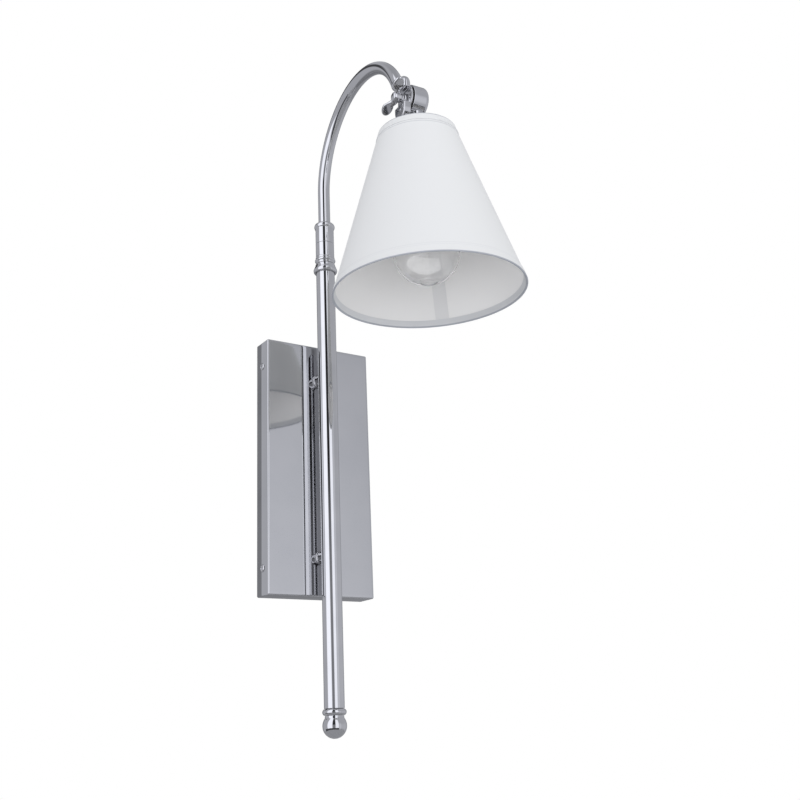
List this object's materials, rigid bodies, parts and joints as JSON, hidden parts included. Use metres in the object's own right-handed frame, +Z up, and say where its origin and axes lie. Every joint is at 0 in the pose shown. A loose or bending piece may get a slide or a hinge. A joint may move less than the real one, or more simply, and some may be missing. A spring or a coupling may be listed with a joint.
{
  "type": "swing arm wall sconce",
  "caption": "Swing arm wall sconce: a polished wall box carries a vertical stem, a hooked arm that swings on it, and a white cone shade that tilts on a wing screw knuckle.",
  "frame": {"origin": "centre of the wall box's back, on the wall plane", "axes": "+Z up; -Y out from the wall, the way the arm reaches; +X to the right as seen from the room"},
  "size_m": [0.1727, 0.3059, 0.6438],
  "materials": {
    "polished_nickel": "mirror-polished nickel plate",
    "zinc_plated_steel": "zinc plate, satin",
    "brass": "bare brass",
    "white_fabric": "fine white linen on a stiff liner",
    "black_phenolic": "moulded phenolic, satin",
    "white_plastic": "moulded, satin",
    "black_fibre": "vulcanised fibre, matt",
    "clear_glass": "clear blown glass",
    "tungsten": "drawn wire",
    "lead_sleeve": "smooth sleeve"
  },
  "bodies": {
    "base": {"mounting_bracket": "zinc_plated_steel", "backplate_cover": "polished_nickel", "cover_screw_lower_left": "polished_nickel", "cover_screw_upper_left": "polished_nickel", "cover_screw_lower_right": "polished_nickel", "cover_screw_upper_right": "polished_nickel", "terminal_block": "white_plastic", "earth_screw": "brass", "stem_lead": "lead_sleeve", "standoff_lower": "polished_nickel", "standoff_upper": "polished_nickel", "standoff_nipple_lower": "zinc_plated_steel", "standoff_nipple_upper": "zinc_plated_steel", "standoff_nut_lower": "zinc_plated_steel", "standoff_nut_upper": "zinc_plated_steel", "stem_tube": "polished_nickel", "stem_plug": "zinc_plated_steel", "finial_bead": "polished_nickel", "finial_ball": "polished_nickel", "stem_bell": "polished_nickel", "stem_collar": "polished_nickel", "pivot_tube": "zinc_plated_steel", "pivot_nut": "zinc_plated_steel"},
    "arm": {"swivel_collar": "polished_nickel", "swivel_washer": "white_plastic", "arm_tube": "polished_nickel", "arm_lead": "lead_sleeve", "arm_ear": "polished_nickel", "ear_screw": "zinc_plated_steel", "friction_washer": "black_fibre"},
    "head": {"knuckle_drum": "polished_nickel", "knuckle_nut": "zinc_plated_steel", "cap_nipple": "zinc_plated_steel", "socket_cap": "polished_nickel", "lampholder": "black_phenolic", "screw_shell": "brass", "centre_contact": "brass", "shade_ring_nut": "black_phenolic", "head_lead": "lead_sleeve", "shade_cone": "white_fabric", "top_trim": "white_fabric", "bottom_trim": "white_fabric", "bottom_wire_ring": "zinc_plated_steel", "shade_spider": "zinc_plated_steel", "bulb_glass": "clear_glass", "bulb_base": "brass", "bulb_contact": "brass", "bulb_stem": "clear_glass", "filament": "tungsten"},
    "clamp_screw": {"wing_screw": "polished_nickel"}
  },
  "joints": [
    {"name": "arm_swing", "type": "hinge", "parent": "base", "child": "arm", "pos_m": [0, -0.042, 0.2355], "axis": [0, 0, 1], "range_deg": [-61, 69]},
    {"name": "shade_tilt", "type": "hinge", "parent": "arm", "child": "head", "pos_m": [-0.0083, -0.21805, 0.3056], "axis": [-0.9976, 0.0698, 0], "range_deg": [-20, 75]},
    {"name": "wing_turn", "type": "hinge", "parent": "arm", "child": "clamp_screw", "pos_m": [-0.0083, -0.21805, 0.3056], "axis": [-0.9976, 0.0698, 0], "range_deg": [0, 270]}
  ]
}
